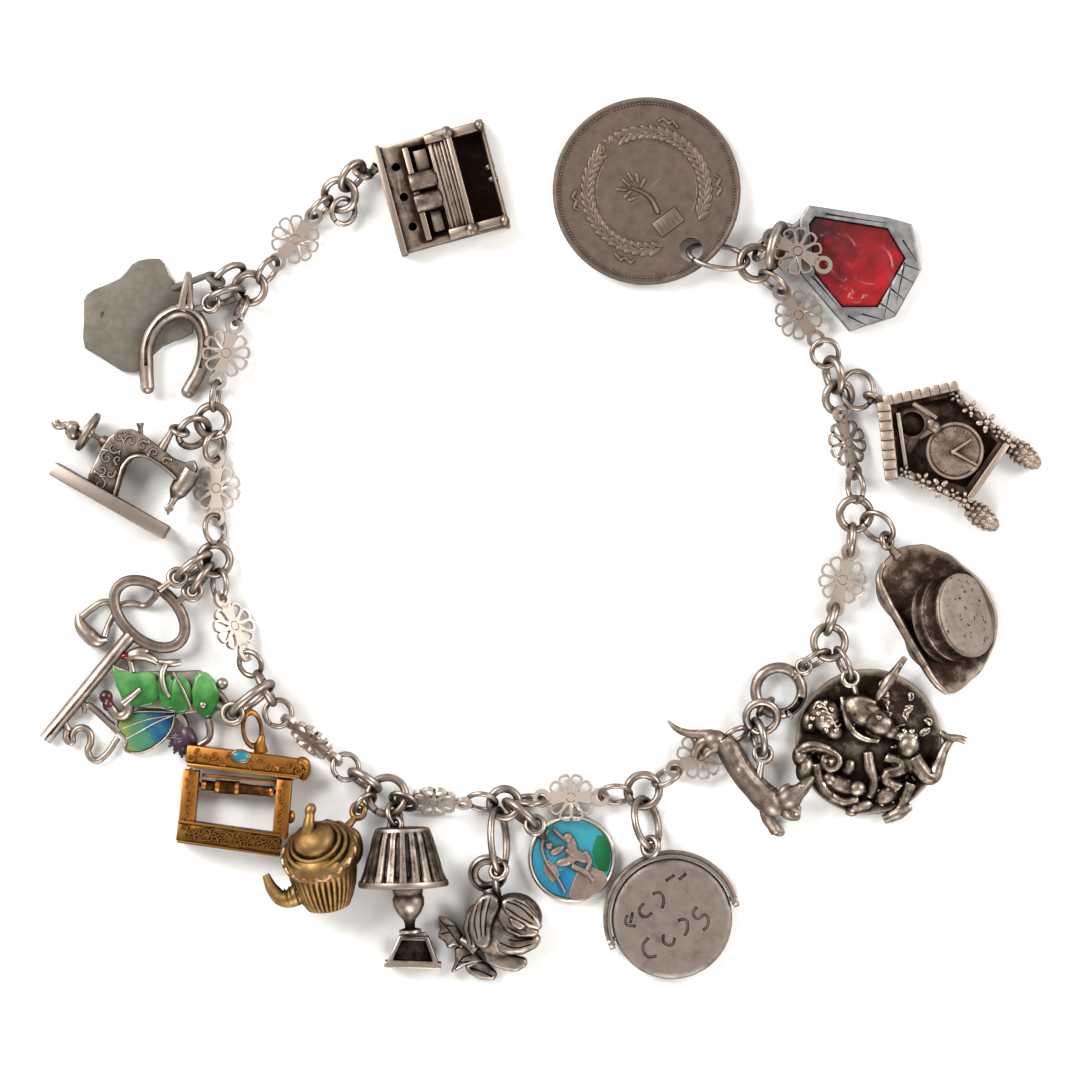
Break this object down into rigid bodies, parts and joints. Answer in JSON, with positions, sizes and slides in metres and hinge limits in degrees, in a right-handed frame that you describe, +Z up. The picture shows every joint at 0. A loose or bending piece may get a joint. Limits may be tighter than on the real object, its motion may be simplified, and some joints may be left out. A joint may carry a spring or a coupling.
{
  "type": "charm bracelet",
  "caption": "Silver charm bracelet lying open in a ring: twelve pierced daisy links, wire rings, a bolt ring and nineteen charms.",
  "frame": {"origin": "bottom centre of the bounding box, on the surface the bracelet lies on", "axes": "+X to the cuckoo clock's side, +Y to the open end between the piano and the red shield, +Z up from the surface"},
  "size_m": [0.1206, 0.1064, 0.0106],
  "materials": {
    "aged_silver": "aged sterling silver, dark in the recesses",
    "polished_silver": "worn bright sterling silver",
    "brushed_silver": "brushed silver, scratched",
    "cupronickel": "worn brown-grey coin metal",
    "gilt": "gilt over silver, dark between the relief",
    "worn_gilt": "thin gilding worn through to silver",
    "red_enamel": "glossy translucent enamel in a grey silver frame",
    "teal_enamel": "glossy enamel behind a silver relief",
    "green_enamel": "glossy enamel over silver"
  },
  "bodies": {
    "bracelet": {"daisy_link_01": "aged_silver", "daisy_link_02": "aged_silver", "daisy_link_03": "aged_silver", "daisy_link_04": "aged_silver", "daisy_link_05": "aged_silver", "daisy_link_06": "aged_silver", "daisy_link_07": "aged_silver", "daisy_link_08": "aged_silver", "daisy_link_09": "aged_silver", "daisy_link_10": "aged_silver", "daisy_link_11": "aged_silver", "daisy_link_12": "aged_silver", "chain_links_01": "aged_silver", "chain_links_02": "aged_silver", "chain_links_03": "aged_silver", "chain_links_04": "aged_silver", "chain_links_05": "aged_silver", "chain_links_06": "aged_silver", "chain_links_07": "aged_silver", "chain_links_08": "aged_silver", "chain_links_09": "aged_silver", "chain_links_10": "aged_silver", "chain_links_11": "aged_silver", "chain_links_12": "aged_silver", "chain_links_13": "aged_silver", "bolt_ring": "polished_silver", "piano": "aged_silver", "coin": "cupronickel", "red_shield": "red_enamel", "cuckoo_clock": "aged_silver", "hat": "aged_silver", "figure_dish": "aged_silver", "dachshund": "aged_silver", "spinner_bracket": "brushed_silver", "enamel_medal": "teal_enamel", "rose": "aged_silver", "table_lamp": "aged_silver", "teapot": "worn_gilt", "mangle_frame": "gilt", "pixie": "green_enamel", "key_21": "polished_silver", "stirrup": "aged_silver", "sewing_machine": "aged_silver", "horseshoe": "polished_silver", "shield_plate": "brushed_silver"},
    "spinner": {"spinner_disc": "brushed_silver"},
    "trigger": {"bolt_ring_trigger": "polished_silver"},
    "handwheel": {"sewing_handwheel": "aged_silver"},
    "roller": {"mangle_roller": "gilt"}
  },
  "joints": [
    {"name": "spinner_turn", "type": "hinge", "parent": "bracelet", "child": "spinner", "pos_m": [0.0156, -0.04548, 0.0016], "axis": [0.9455, 0.3256, 0], "continuous": true},
    {"name": "handwheel_turn", "type": "hinge", "parent": "bracelet", "child": "handwheel", "pos_m": [-0.05442, 0.01296, 0.00265], "axis": [0.8572, -0.515, 0], "continuous": true},
    {"name": "roller_turn", "type": "hinge", "parent": "bracelet", "child": "roller", "pos_m": [-0.03636, -0.02981, 0.0022], "axis": [0.9953, -0.0965, 0], "continuous": true},
    {"name": "trigger_slide", "type": "hinge", "parent": "bracelet", "child": "trigger", "pos_m": [0.02844, -0.01812, 0.00135], "axis": [0, 0, 1], "range_deg": [0, 42], "stiffness_Nm_per_rad": 0.0002}
  ]
}
